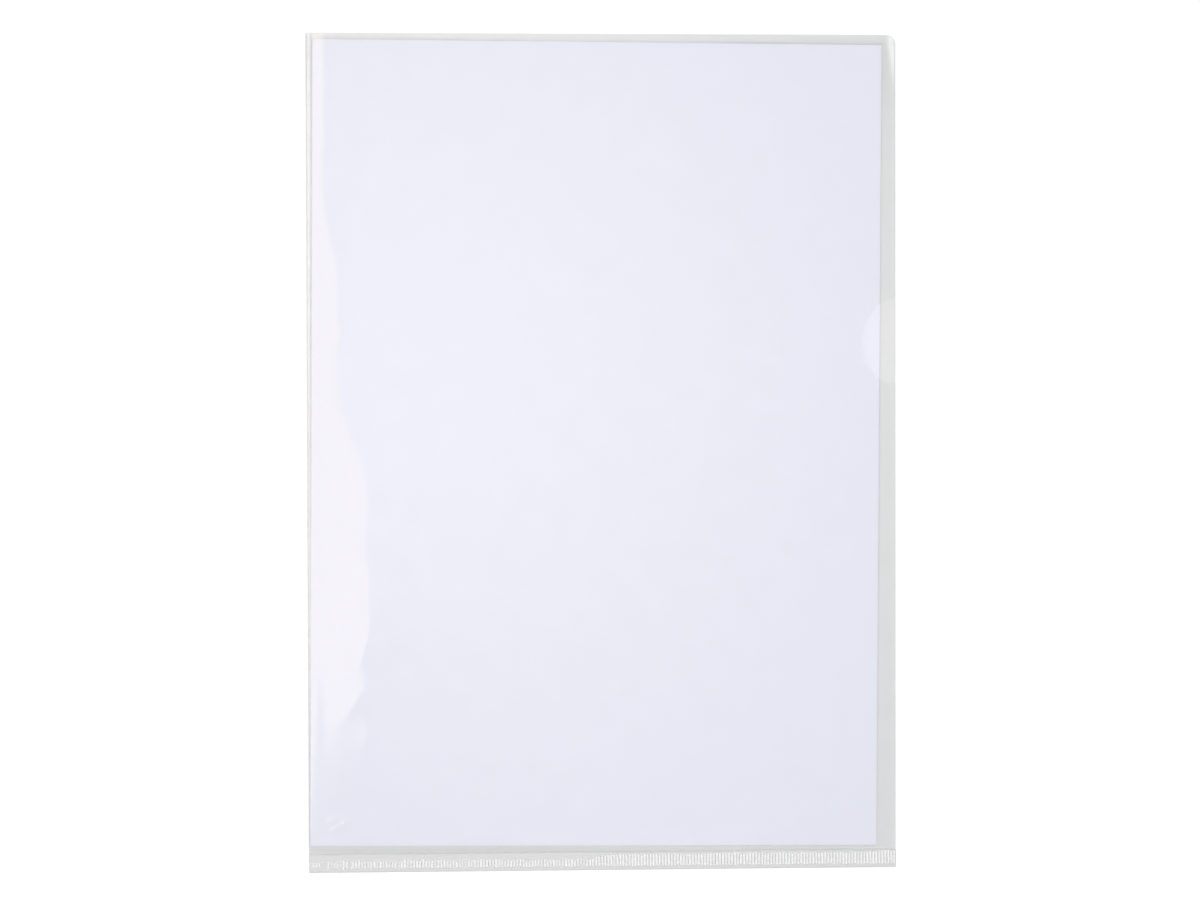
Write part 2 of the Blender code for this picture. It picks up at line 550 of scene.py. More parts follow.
@dataclass(frozen=True)
class Rise:
    """A soft rise along a line, or a fall if its reach is below zero."""

    start: float
    reach: float

    def share(self, place: float) -> float:
        """How far up the rise a place is, from 0 to 1."""
        return ease((place - self.start) / self.reach)


@dataclass(frozen=True)
class Drift:
    """A value that changes softly and at random along a line."""

    level: float
    swing: float
    scale: float
    row: tuple[float, float]

    def across(self, x: float) -> float:
        """Value at a place across the page."""
        first, second = self.row
        return self.level + self.swing * noise.noise((x * self.scale, first, second))

    def up(self, y: float) -> float:
        """Value at a place up the page."""
        first, second = self.row
        return self.level + self.swing * noise.noise((first, y * self.scale, second))


@dataclass(frozen=True)
class EdgeShade:
    """Painted shade on the film along an edge of the paper, standing in for the thin shadow beside the
    paper's edge.
    """

    place: float
    width: float

    def share(self, past: float) -> float:
        """How strong the painted shade is at a distance past the edge, from 0 to 1."""
        return math.exp(-(((past - self.place) / self.width) ** 2))


@dataclass(frozen=True)
class Crease:
    """A short soft ridge in the film."""

    place: tuple[float, float]
    turn: float
    length: float
    width: float
    height: float

    def rise(self, x: float, y: float) -> float:
        """Height of the ridge.

        Args:
            x: Place across the page.
            y: Place up the page.

        Returns:
            The height, in metres.
        """
        along_x, along_y = math.cos(self.turn), math.sin(self.turn)
        dx, dy = x - self.place[0], y - self.place[1]
        along = (dx * along_x + dy * along_y) / self.length
        across = (dy * along_x - dx * along_y) / self.width
        return self.height * math.exp(-along * along - across * across)


@dataclass(frozen=True)
class FilmRelief:
    """How the slack front sheet lies: a swell beside the fold, a droop at the open side and soft waves."""

    plan: FolderPlan
    sheet: PaperSheet
    fold_rise: float = 0.15 * MM
    fold_reach: float = 0.9 * MM
    fold_foot_share: float = 0.04
    fold_foot_power: int = 4
    swell_slope: float = 0.027
    swell_top_share: float = 0.58
    swell_widths: tuple[float, float, float] = (7.5 * MM, 12.0 * MM, 23.0 * MM)
    swell_steepens: Rise = Rise(101.0 * MM, -22.0 * MM)
    swell_widens: Rise = Rise(90.0 * MM, -22.0 * MM)
    swell_spreads: Rise = Rise(24.0 * MM, -36.0 * MM)
    swell_foot: Rise = Rise(-172.0 * MM, 122.0 * MM)
    swell_edge: float = 3.0 * MM
    swell_drifts: tuple[Drift, ...] = (
        Drift(0.0, 0.9 * MM, 24.0, (3.1, 0.4)),
        Drift(0.0, 0.9 * MM, 70.0, (7.7, 2.2)),
    )
    swell_fade: float = 42.0 * MM
    wave: float = 0.07 * MM
    wave_scale: float = 11.0
    wave_row: float = 1.7
    held_at_fold: float = 6.0 * MM
    held_at_seam: float = 9.0 * MM
    droop: float = 0.34 * MM
    droop_least: float = 0.15
    droop_width: float = 6.8 * MM
    droop_reach: float = 32.0 * MM
    side_drape: Drift = Drift(0.015 * MM, 0.01 * MM, 19.0, (2.4, 6.3))
    side_edge: Rise = Rise(-0.35 * MM, 0.7 * MM)
    left_drape: float = 0.05 * MM
    left_edge: Rise = Rise(-0.7 * MM, 0.7 * MM)
    top_drape: Drift = Drift(0.014 * MM, 0.012 * MM, 23.0, (8.2, 1.6))
    top_edge: Rise = Rise(0.0, 0.7 * MM)
    top_shade: EdgeShade = EdgeShade(0.25 * MM, 0.3 * MM)
    top_strength: Drift = Drift(0.08, 0.35, 28.0, (8.2, 1.6))
    top_strength_gain: float = 0.2
    side_shade: EdgeShade = EdgeShade(1.9 * MM, 1.0 * MM)
    side_strength: float = 0.12
    side_rise: Rise = Rise(112.0 * MM, 30.0 * MM)
    left_shade: EdgeShade = EdgeShade(0.35 * MM, 0.3 * MM)
    left_strength: Drift = Drift(0.22, 0.25, 30.0, (1.3, 4.8))
    left_least: float = 0.3
    left_rise: Rise = Rise(-60.0 * MM, 100.0 * MM)
    bottom_shade: EdgeShade = EdgeShade(1.2 * MM, 1.6 * MM)
    bottom_strength: float = 0.28
    bottom_fall: Rise = Rise(45.0 * MM, -90.0 * MM)
    pucker: float = 0.09 * MM
    pucker_scale: float = 46.0
    pucker_stretch: float = 0.4
    pucker_row: float = 5.5
    pucker_reach: float = 13.0 * MM
    creases: tuple[Crease, ...] = (
        Crease((-84.5 * MM, -45.0 * MM), 1.3, 6.0 * MM, 1.8 * MM, 0.04 * MM),
        Crease((-83.0 * MM, -56.0 * MM), 1.7, 7.0 * MM, 2.0 * MM, 0.04 * MM),
        Crease((-87.5 * MM, -70.0 * MM), 1.2, 8.0 * MM, 2.2 * MM, 0.05 * MM),
        Crease((-92.0 * MM, -92.0 * MM), 0.9, 7.0 * MM, 2.4 * MM, 0.04 * MM),
        Crease((-86.0 * MM, -103.0 * MM), 1.1, 6.5 * MM, 2.6 * MM, 0.025 * MM),
        Crease((-95.4 * MM, -135.8 * MM), 0.6, 1.6 * MM, 1.0 * MM, 0.045 * MM),
        Crease((-98.8 * MM, -138.1 * MM), 0.25, 2.2 * MM, 1.0 * MM, 0.04 * MM),
        Crease((-99.8 * MM, -134.9 * MM), 0.1, 2.4 * MM, 1.0 * MM, 0.04 * MM),
        Crease((-94.5 * MM, 45.0 * MM), 0.6, 5.0 * MM, 1.6 * MM, 0.05 * MM),
        Crease((-98.0 * MM, 39.0 * MM), 0.8, 6.0 * MM, 1.5 * MM, 0.05 * MM),
    )

    def swell_width(self, y: float) -> float:
        """How far the swell reaches from the fold: least at the top, most below the middle.

        Args:
            y: Place up the page.

        Returns:
            The swell's width.
        """
        upper, middle, lower = self.swell_widths
        width = upper + (middle - upper) * self.swell_widens.share(y)
        width += (lower - middle) * self.swell_spreads.share(y)
        return width + sum(drift.up(y) for drift in self.swell_drifts)

    def swell(self, x: float, y: float) -> float:
        """Swell beside the fold, which rises evenly and then lies down again slowly.

        Args:
            x: Place across the page.
            y: Place up the page.

        Returns:
            The rise of the film.
        """
        width = self.swell_width(y)
        above_foot = self.swell_foot.share(y)
        steep = self.swell_top_share + (1 - self.swell_top_share) * self.swell_steepens.share(y)
        slope = self.swell_slope * steep * above_foot
        distance = x - self.plan.fold_axis
        past = distance - width
        rise = slope * (distance - turned_up(past, min(self.swell_edge, width)))
        rounded = self.fold_foot_share + (1 - self.fold_foot_share) * above_foot**self.fold_foot_power
        rise += self.fold_rise * rounded * (1 - math.exp(-distance / self.fold_reach))
        return rise * math.exp(-max(past, 0.0) / self.swell_fade)

    def height(self, x: float, y: float) -> float:
        """Height of the film above its plain level.

        Args:
            x: Place across the page.
            y: Place up the page.

        Returns:
            The height, in metres.
        """
        plan = self.plan
        from_fold = ease((x - plan.fold_axis) / self.held_at_fold)
        from_seam = ease((y - plan.seam_line) / self.held_at_seam)
        rise = self.swell(x, y)
        spot = (x * self.wave_scale, y * self.wave_scale, self.wave_row)
        rise += self.wave * noise.noise(spot) * from_fold
        to_edge = max(0.0, 1 - (plan.front_right - x) / self.droop_width)
        near_corner = max(0.0, 1 - (plan.top - y) / self.droop_reach)
        rise -= self.droop * to_edge**2 * (self.droop_least + (1 - self.droop_least) * near_corner)
        past_side, past_top = self.sheet.past_edges(x, y)
        rise -= self.side_drape.up(y) * self.side_edge.share(past_side)
        rise -= self.left_drape * self.left_edge.share(past_side + self.sheet.width)
        rise -= self.top_drape.across(x) * self.top_edge.share(past_top)
        above_seam = (y - plan.seam_line) / self.pucker_reach
        spot = (x * self.pucker_scale, self.pucker_row, y * self.pucker_scale * self.pucker_stretch)
        rise += self.pucker * noise.noise(spot) * math.exp(-above_seam * above_seam) * from_fold
        rise += sum(crease.rise(x, y) for crease in self.creases)
        return rise * from_seam

    def edge_shade(self, x: float, y: float) -> float:
        """How much shade is painted on the film along the paper's edges.

        Args:
            x: Place across the page.
            y: Place up the page.

        Returns:
            A value from 0 to 1.
        """
        past_side, past_top = self.sheet.past_edges(x, y)
        at_top = self.top_strength.across(x) + self.top_strength_gain * x / self.plan.right
        at_side = self.side_strength * self.side_rise.share(y)
        risen = self.left_least + (1 - self.left_least) * self.left_rise.share(y)
        at_left = self.left_strength.up(y) * risen
        at_bottom = self.bottom_strength * self.bottom_fall.share(x)
        bends = (
            at_top * self.top_shade.share(past_top),
            at_side * self.side_shade.share(past_side),
            at_left * self.left_shade.share(-past_side - self.sheet.width),
            at_bottom * self.bottom_shade.share(-past_top - self.sheet.height),
        )
        return min(max(0.0, *bends), 1.0)


@dataclass(frozen=True)
class ThumbNotch:
    """Half an ellipse cut in the front sheet's open edge."""

    from_top: float = 113.4 * MM
    depth: float = 12.1 * MM
    half_height: float = 15.6 * MM
    crescent: float = 0.6
    steps: int = 40

    def in_crescent(self, place: Vector, edge: float, top: float) -> bool:
        """Whether a place on the rim is in the notch's deepest part, where shade is painted on the cut
        edge as a dark crescent.
        """
        level = abs(place.y - top + self.from_top)
        return level < self.half_height and place.x < edge - self.crescent * self.depth

    def cut(self, shape: bmesh.types.BMesh, edge: float, top: float) -> list[bmesh.types.BMVert]:
        """Lay the notch's line along an open edge.

        Args:
            shape: The bmesh that gets the line.
            edge: Place of the open edge across the page.
            top: Top of the sheet.

        Returns:
            The line's points, from the lower end to the upper.
        """
        middle = top - self.from_top
        known = set(shape.verts)
        start = shape.verts.new((edge, middle - self.half_height, 0.0))
        bmesh.ops.spin(
            shape,
            geom=[start],
            cent=(edge, middle, 0.0),
            axis=(0.0, 0.0, 1.0),
            angle=-math.pi,
            steps=self.steps,
        )
        arc = [point for point in shape.verts if point not in known]
        squeeze = (self.depth / self.half_height, 1.0, 1.0)
        bmesh.ops.scale(shape, verts=arc, vec=squeeze, space=Matrix.Translation((-edge, 0.0, 0.0)))
        return arc


@dataclass
class FilmPocket:
    """Film blank of the folder: the back sheet with the fold along its side, and the front sheet."""

    plan: FolderPlan
    relief: FilmRelief
    clear: FilmFinish
    folded: FilmFinish
    shaded_cut_edge: FilmFinish
    notch: ThumbNotch = field(default_factory=ThumbNotch)
    corner_radius: float = 3.3 * MM
    corner_steps: int = 8
    clear_corner: float = 16.0 * MM
    rim: float = 0.34 * MM
    edge_loop: float = 0.04 * MM
    seam_gap: float = 0.02 * MM
    seam_drifts: tuple[Drift, ...] = (
        Drift(0.0, 0.16 * MM, 21.0, (0.3, 9.1)),
        Drift(0.0, 0.08 * MM, 57.0, (4.2, 1.1)),
    )
    seam_reach: float = 1.2 * MM
    dark_seam_end: float = 5.0 * MM
    fold_steps: int = 10
    bend_reach: float = 1.5
    cuts_from_fold: Cuts = (
        (0.5 * MM, 0.2 * MM),
        (2.9 * MM, 0.65 * MM),
        (16.0 * MM, 1.0 * MM),
        (36.0 * MM, 4.5 * MM),
    )
    cuts_to_open_side: Cuts = ((10.0 * MM, 1.2 * MM), (7.6 * MM, 0.25 * MM), (4.4 * MM, 1.1 * MM))
    cuts_from_seam: Cuts = (
        (0.6 * MM, 0.4 * MM),
        (3.0 * MM, 0.65 * MM),
        (17.0 * MM, 1.25 * MM),
        (80.0 * MM, 2.5 * MM),
    )
    cuts_to_top: Cuts = ((5.0 * MM, 0.25 * MM),)
    last_cut: float = 1.0 * MM
    back_cell: tuple[float, float] = (4.5 * MM, 20.0 * MM)
    back_margin: tuple[float, float] = (4.0 * MM, 10.0 * MM)
    back_seam_end: float = 1.4 * MM

    def outline(self, right: float, notched: bool) -> bmesh.types.BMesh:
        """Flat sheet with its rounded free corner, and the notch if it has one.

        Args:
            right: Place of its open edge.
            notched: Whether the notch is cut in it.

        Returns:
            The sheet, whose cut edges are a narrow rim of their own.
        """
        plan = self.plan
        shape = bmesh.new()
        bottom = plan.seam_line + self.seam_gap
        low_left = shape.verts.new((plan.fold_axis, bottom, 0.0))
        low_right = shape.verts.new((right, bottom, 0.0))
        side = self.notch.cut(shape, right, plan.top) if notched else []
        high_right = shape.verts.new((right, plan.top, 0.0))
        high_left = shape.verts.new((plan.fold_axis, plan.top, 0.0))
        shape.faces.new([low_left, low_right, *side, high_right, high_left])
        bmesh.ops.bevel(
            shape,
            geom=[high_right],
            offset=self.corner_radius,
            segments=self.corner_steps,
            profile=0.5,
            affect="VERTICES",
            material=-1,
        )
        inner = shape.faces[:]
        for width in (self.edge_loop, self.rim):
            edge = bmesh.ops.inset_region(
                shape, faces=inner, thickness=width, use_boundary=True, use_even_offset=True
            )
            inner = [face for face in shape.faces if face not in edge["faces"] and len(face.verts) > 4]
            for face in edge["faces"]:
                face.material_index = self.zone(face.calc_center_median(), right, notched).value
        return shape

    def zone(self, place: Vector, right: float, notched: bool) -> Zone:
        """Finish of a place on the rim. Shade is painted on the cut edge as a dark line down the back
        sheet's open side, round the deepest part of the notch and along the seam's first stretch.

        Args:
            place: A place on the rim.
            right: Place of the open edge.
            notched: Whether the notch is cut in the sheet.

        Returns:
            The zone.
        """
        plan = self.plan
        if place.x < plan.fold_axis + self.rim:
            return Zone.FOLDED
        if place.y < plan.seam_line + self.rim:
            return Zone.SHADED_CUT_EDGE if place.x < self.dark_seam_end else Zone.CLEAR
        if notched:
            return Zone.SHADED_CUT_EDGE if self.notch.in_crescent(place, right, plan.top) else Zone.CLEAR
        return Zone.CLEAR if place.y > plan.top - self.clear_corner else Zone.SHADED_CUT_EDGE

    def front_lines(self) -> tuple[list[float], list[float]]:
        """Cuts of the front sheet: fine beside the fold, the paper's edges and the seam.

        Returns:
            Places of the cuts across the page and up the page.
        """
        plan = self.plan
        across = [(plan.fold_axis + place, step) for place, step in self.cuts_from_fold]
        across += [(plan.right - place, step) for place, step in self.cuts_to_open_side]
        along = [(plan.seam_line + place, step) for place, step in self.cuts_from_seam]
        along += [(plan.top - place, step) for place, step in self.cuts_to_top]
        return lines(across, plan.right - self.last_cut), lines(along, plan.top - self.last_cut)

    def back_lines(self) -> tuple[list[float], list[float]]:
        """Cuts of the back sheet, which lies flat and only follows the seam's line.

        Returns:
            Places of the cuts across the page and up the page.
        """
        plan = self.plan
        wide, tall = self.back_cell
        side, top = self.back_margin
        across = lines([(plan.fold_axis + side, wide)], plan.right - side)
        place, step = self.cuts_from_seam[0]
        along = lines([(plan.seam_line + place, step)], plan.seam_line + self.back_seam_end)
        return across, along + lines([(plan.seam_line + tall, tall)], plan.top - top)

    @staticmethod
    def divide(shape: bmesh.types.BMesh, across: Iterable[float], along: Iterable[float]) -> None:
        """Cut a flat sheet into a grid.

        Args:
            shape: The sheet.
            across: Places of the cuts across the page.
            along: Places of the cuts up the page.
        """
        cuts = [(Vector((x, 0.0, 0.0)), Vector((1.0, 0.0, 0.0))) for x in across]
        cuts += [(Vector((0.0, y, 0.0)), Vector((0.0, 1.0, 0.0))) for y in along]
        for place, normal in cuts:
            everything = shape.verts[:] + shape.edges[:] + shape.faces[:]
            bmesh.ops.bisect_plane(shape, geom=everything, dist=TOUCH, plane_co=place, plane_no=normal)
        wide = [face for face in shape.faces if len(face.verts) > 4]
        bmesh.ops.triangulate(shape, faces=wide)

    def wander_of_seam(self, x: float) -> float:
        """How far the seam's upper line strays from straight at a place across the page."""
        return sum(drift.across(x) for drift in self.seam_drifts)

    def lay(self, shape: bmesh.types.BMesh, height: Callable[[float, float], float]) -> None:
        """Raise a flat sheet to its height and let its lower edge follow the seam's line.

        Args:
            shape: The sheet.
            height: Height at a place.
        """
        for point in shape.verts:
            point.co.z = height(point.co.x, point.co.y)
            share = 1 - (point.co.y - self.plan.seam_line) / self.seam_reach
            point.co.y += self.wander_of_seam(point.co.x) * ease(share)

    def front_height(self, x: float, y: float) -> float:
        """Height of the front sheet's middle: down at the seam, up the shoulder and slack over the paper.

        Args:
            x: Place across the page.
            y: Place up the page.

        Returns:
            The height, in metres.
        """
        plan = self.plan
        up = ease((y - plan.seam_line) / (plan.shoulder_top - plan.seam_line))
        plain = plan.welded_level + (plan.front_level - plan.welded_level) * up
        return plain + self.relief.height(x, y)

    def materials(self) -> list[bpy.types.Material]:
        """Materials of a film sheet, by zone."""
        return [finish.material() for finish in (self.clear, self.folded, self.shaded_cut_edge)]

    def build_back(self) -> bpy.types.Object:
        """Make the back sheet, with the fold turned up from its left edge.

        Returns:
            The piece.
        """
        plan = self.plan
        shape = self.outline(plan.right, notched=False)
        self.divide(shape, *self.back_lines())
        self.lay(shape, lambda x, y: plan.back_level)
        hem = [
            edge
            for edge in shape.edges
            if edge.is_boundary and all(abs(v.co.x - plan.fold_axis) < TOUCH for v in edge.verts)
        ]
        bmesh.ops.spin(
            shape,
            geom=hem + list(dict.fromkeys(v for edge in hem for v in edge.verts)),
            cent=(plan.fold_axis, 0.0, plan.fold_radius),
            axis=(0.0, 1.0, 0.0),
            angle=math.pi,
            steps=self.fold_steps,
        )
        for face in shape.faces:
            if face.calc_center_median().x < plan.fold_axis:
                face.material_index = Zone.FOLDED.value
        bmesh.ops.recalc_face_normals(shape, faces=shape.faces)
        piece = new_piece("back_film", shape, self.materials())
        give_thickness(piece, plan.film)
        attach(piece, Body.FOLDER.value)
        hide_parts("back_panel", "spine_fold")
        return piece

    def build_front(self, lift: dict) -> bpy.types.Object:
        """Make the front sheet.

        Args:
            lift: The joint of the free corner.

        Returns:
            The piece.
        """
        plan = self.plan
        shape = self.outline(plan.front_right, notched=True)
        self.divide(shape, *self.front_lines())
        # Painted shade along the paper's edges, kept on the points for the film's material
        shade = shape.verts.layers.float.new(self.clear.shade_attribute)
        for point in shape.verts:
            point[shade] = self.relief.edge_shade(point.co.x, point.co.y)
        self.lay(shape, self.front_height)
        bmesh.ops.recalc_face_normals(shape, faces=shape.faces)
        piece = new_piece("front_film", shape, self.materials())
        give_thickness(piece, plan.film)
        start = Vector(lift["pos_m"])
        axis = Vector(lift["axis"])
        away = Vector((-axis.y, axis.x, 0.0))
        corner = Vector((plan.front_right, plan.top, start.z))
        reach = (corner - start).dot(away) * self.bend_reach
        start + away * reach
        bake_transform(piece)
        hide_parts("front_panel", "front_flap", "seam_shoulder")
        return piece


@dataclass(frozen=True)
class Rib:
    """One pressed rib of the seam: its ends above the bottom edge, its strength, the shade painted in its
    groove with a dark tail past its top, and its stray.
    """

    foot: float
    top: float
    strength: float
    depth: float
    tail: float
    stray: float
    end: float = 0.3 * MM
    bend: float = 5.0
    bend_start: float = 9000.0

    def share(self, up: float) -> float:
        """How far the rib stands at a height above the bottom edge."""
        return ease((up - self.foot) / self.end) * ease((self.top - up) / self.end)

    def groove_shade(self, up: float) -> float:
        """How much shade is painted in the groove beside the rib at a height above the bottom edge."""
        risen = ease((up - self.foot) / self.end)
        return self.depth * risen * ease((self.top + self.tail - up) / self.end)

    def shift(self, up: float) -> float:
        """How far the rib bends sideways at a height above the bottom edge."""
        along = (up - self.foot) / (self.top - self.foot)
        return self.stray * math.sin(self.bend * along + self.bend_start * self.stray)


@dataclass
class WeldedSeam:
    """Band along the bottom where both sheets are fused, with pressed upright ribs."""

    plan: FolderPlan
    pocket: FilmPocket
    finish: WeldFinish
    shaded_cut_edge: FilmFinish
    pitch: float = 1.11 * MM
    columns_to_rib: int = 6
    rows: int = 21
    end_margin: float = 0.9 * MM
    end_hold: float = 2.0 * MM
    seam_rows: float = 0.2
    rib_foot: float = 1.35 * MM
    short_rib: float = 2.9 * MM
    long_rib: float = 4.6 * MM
    lengthening: Rise = Rise(0.45, 0.08)
    end_rib: float = 5.0 * MM
    end_lengthening: Rise = Rise(0.96, 0.02)
    uneven: Drift = Drift(0.0, 0.6 * MM, 0.73, (1.9, 0.7))
    even_when_long: float = 0.8
    foot_stray: float = 0.12 * MM
    top_stray: float = 0.25 * MM
    side_stray: float = 0.06 * MM
    weakest: float = 0.62
    weakest_gain: float = 0.16
    first_ribs: int = 4
    first_foot: float = 1.85 * MM
    first_rib: float = 1.75 * MM
    first_weakest: float = 0.9
    unsure_ribs: int = 11
    unsure_weakest: float = 0.25
    smooth_ribs: tuple[int, ...] = (0, 4, 5, 13)
    smooth_strength: float = 0.05
    tails: tuple[float, float] = (-0.6 * MM, 1.3 * MM)
    tail_loss: float = 0.7
    groove_shade_gain: float = 1.3
    groove_shade_loss: float = 0.35
    rib_height: float = 0.1 * MM
    rib_breadth: float = 0.75
    rib_white: float = 0.94
    groove_white: float = 0.2
    mottle: float = 0.2
    mottle_scale: tuple[float, float] = (0.9, 800.0)
    mottle_row: float = 3.3
    upper_shade: float = 0.35
    seed: int = 11

    def ribs(self) -> list[Rib]:
        """Draw the ribs: a few short ones, a smooth patch, then longer ones towards the open side.

        Returns:
            The ribs from the fold to the open side.
        """
        width = self.plan.right - self.plan.left
        count = int((width - 2 * self.end_margin) / self.pitch)
        draws = random.Random(self.seed)
        found = []
        for index in range(count):
            share = index / count
            grown = self.lengthening.share(share)
            length = self.short_rib + (self.long_rib - self.short_rib) * grown
            length += (self.end_rib - self.long_rib) * self.end_lengthening.share(share)
            length += self.uneven.across(index) * (1 - self.even_when_long * grown)
            foot = self.rib_foot
            weakest = self.weakest + self.weakest_gain * grown
            if index < self.first_ribs:
                foot, length, weakest = self.first_foot, self.first_rib, self.first_weakest
            elif index < self.unsure_ribs:
                weakest = self.unsure_weakest
            strength = draws.uniform(weakest, 1.0)
            if index in self.smooth_ribs:
                strength = self.smooth_strength
            foot += draws.uniform(-self.foot_stray, self.foot_stray)
            top = foot + length + draws.uniform(-self.top_stray, self.top_stray)
            tail = max(0.0, draws.uniform(*self.tails)) * (1 - self.tail_loss * grown)
            depth = min(1.0, self.groove_shade_gain * strength) * (1 - self.groove_shade_loss * grown)
            stray = draws.uniform(-self.side_stray, self.side_stray)
            found.append(Rib(foot, top, strength, depth, tail, stray))
        return found

    def press(self, shape: bmesh.types.BMesh, ribs: list[Rib]) -> None:
        """Lay a flat grid along the bottom and press the ribs in it.

        Args:
            shape: The grid, one unit wide and one high, around the origin.
            ribs: The ribs from the fold to the open side.
        """
        plan = self.plan
        rib_layer = shape.verts.layers.float.new(self.finish.rib_attribute)
        shade_layer = shape.verts.layers.float.new(self.finish.shade_attribute)
        width = plan.right - plan.left
        height = plan.seam_line - plan.bottom
        by_rib, by_height = self.mottle_scale
        for point in shape.verts:
            across = point.co.x + 0.5
            up = (point.co.y + 0.5) * height
            phase = across * len(ribs)
            rib = ribs[min(int(phase), len(ribs) - 1)]
            share = rib.share(up)
            ridge = ease(self.rib_breadth * (1 - math.cos(2 * math.pi * phase)))
            mottle = noise.noise((phase * by_rib, up * by_height, self.mottle_row))
            # The rib value raises the rib and paints it white, a painted highlight of the light on its
            # slopes
            white = self.groove_white + (1 - self.groove_white) * ridge
            point[rib_layer] = white * share * rib.strength * (self.rib_white + self.mottle * mottle)
            above = ease((up - rib.top) / rib.end + 0.5)
            shade = self.upper_shade * (1 - self.lengthening.share(across)) * above
            # Painted shade in the grooves beside the ribs, and above the shorter ribs
            point[shade_layer] = max((1 - ridge) * rib.groove_shade(up), shade)
            from_end = min(across, 1 - across) * width
            x = plan.left + width * across
            near_seam = ease(1 - (1 - up / height) / self.seam_rows)
            point.co.x = x + rib.shift(up) * share * ease(from_end / self.end_hold)
            point.co.y = plan.bottom + up + self.pocket.wander_of_seam(x) * near_seam
            point.co.z = plan.weld_height + self.rib_height * point[rib_layer]

    def build(self) -> bpy.types.Object:
        """Make the seam with its ribs.

        Returns:
            The piece.
        """
        plan = self.plan
        ribs = self.ribs()
        shape = bmesh.new()
        columns = len(ribs) * self.columns_to_rib
        bmesh.ops.create_grid(shape, x_segments=columns, y_segments=self.rows, size=0.5)
        self.press(shape, ribs)
        for face in shape.faces:
            middle = face.calc_center_median()
            margin = min(middle.y - plan.bottom, plan.right - middle.x)
            zone = Zone.FOLDED if middle.x - plan.left < self.pocket.rim else Zone.CLEAR
            # The rims along the bottom and the open end take the cut edge's painted shade
            face.material_index = Zone.SHADED_CUT_EDGE.value if margin < self.pocket.rim else zone.value
        bmesh.ops.inset_region(
            shape,
            faces=shape.faces[:],
            thickness=self.pocket.edge_loop,
            use_boundary=True,
            use_even_offset=True,
        )
        bmesh.ops.recalc_face_normals(shape, faces=shape.faces)
        finishes = (self.finish, self.pocket.folded, self.shaded_cut_edge)
        piece = new_piece("welded_seam", shape, [finish.material() for finish in finishes])
        give_thickness(piece, plan.weld_height, -1.0)
        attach(piece, Body.FOLDER.value)
        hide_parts("bottom_weld")
        return piece


@dataclass
class PaperSheet:
    """Sheet of A4 paper, a little askew in the pocket and not quite flat."""

    plan: FolderPlan
    finish: PaperFinish
    width: float = 210.0 * MM
    height: float = 297.0 * MM
    thickness: float = 0.1 * MM
    turn: float = math.radians(-0.4)
    cell: float = 6.0 * MM
    border: float = 0.12 * MM
    wave: float = 0.05 * MM
    wave_scale: float = 9.0
    wave_row: float = 4.4
    settle: float = 0.22 * MM
    top_lift: float = 0.3 * MM
    top_rise: Rise = Rise(120.0 * MM, 34.0 * MM)

    def past_edges(self, x: float, y: float) -> tuple[float, float]:
        """How far a place is past the sheet's edges.

        Args:
            x: Place across the page.
            y: Place up the page.

        Returns:
            The distances past its right edge and its top edge, negative over the sheet.
        """
        dx, dy = x - self.plan.paper_middle.x, y - self.plan.paper_middle.y
        across = dx * math.cos(self.turn) + dy * math.sin(self.turn)
        along = dy * math.cos(self.turn) - dx * math.sin(self.turn)
        return across - self.width / 2, along - self.height / 2

    def build(self) -> bpy.types.Object:
        """Make the sheet.

        Returns:
            The piece.
        """
        shape = bmesh.new()
        bmesh.ops.create_grid(
            shape,
            x_segments=round(self.width / self.cell),
            y_segments=round(self.height / self.cell),
            size=0.5,
        )
        bmesh.ops.scale(shape, verts=shape.verts, vec=(self.width, self.height, 1.0))
        bmesh.ops.inset_region(shape, faces=shape.faces[:], thickness=self.border, use_boundary=True)
        bmesh.ops.rotate(shape, verts=shape.verts, matrix=Matrix.Rotation(self.turn, 3, "Z"))
        bmesh.ops.translate(shape, verts=shape.verts, vec=self.plan.paper_middle)
        for point in shape.verts:
            spot = (point.co.x * self.wave_scale, point.co.y * self.wave_scale, self.wave_row)
            point.co.z += self.wave * noise.noise(spot) - self.settle
            point.co.z += self.top_lift * self.top_rise.share(point.co.y)
        piece = new_piece("paper", shape, [self.finish.material()])
        give_thickness(piece, self.thickness)
        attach(piece, Body.SHEET.value)
        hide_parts("paper_sheet")
        return piece


@dataclass(frozen=True)
class Softbox:
    """A large soft lamp, aimed at the middle of the folder."""

    name: str
    place: tuple[float, float, float]
    radiance: float
    width: float = 1.2
    length: float = 1.6

    def build(self) -> bpy.types.Object:
        """Hang the lamp.

        Returns:
            The lamp's object, which the camera doesn't see.
        """
        lamp = bpy.data.lights.new(self.name, "AREA")
        lamp.shape = "RECTANGLE"
        lamp.size = self.width
        lamp.size_y = self.length
        lamp.energy = self.radiance * math.pi * self.width * self.length
        thing = bpy.data.objects.new(self.name, lamp)
        thing.location = self.place
        thing.rotation_euler = (-Vector(self.place)).to_track_quat("-Z", "Y").to_euler()
        thing.visible_camera = False
        bpy.context.scene.collection.objects.link(thing)
        return thing


@dataclass(frozen=True)
class Glow:
    """A soft bright side of the surround, which only reflections show."""

    tone: Colour
    rise: tuple[float, float]
    fall: tuple[float, float]

    def share(self, graph: Graph, lean: Value) -> Value:
        """Strength of the glow, from 0 to 1, in a direction that leans from straight up by a slope."""
        return graph.span(lean, *self.rise) * graph.span(lean, *self.fall)


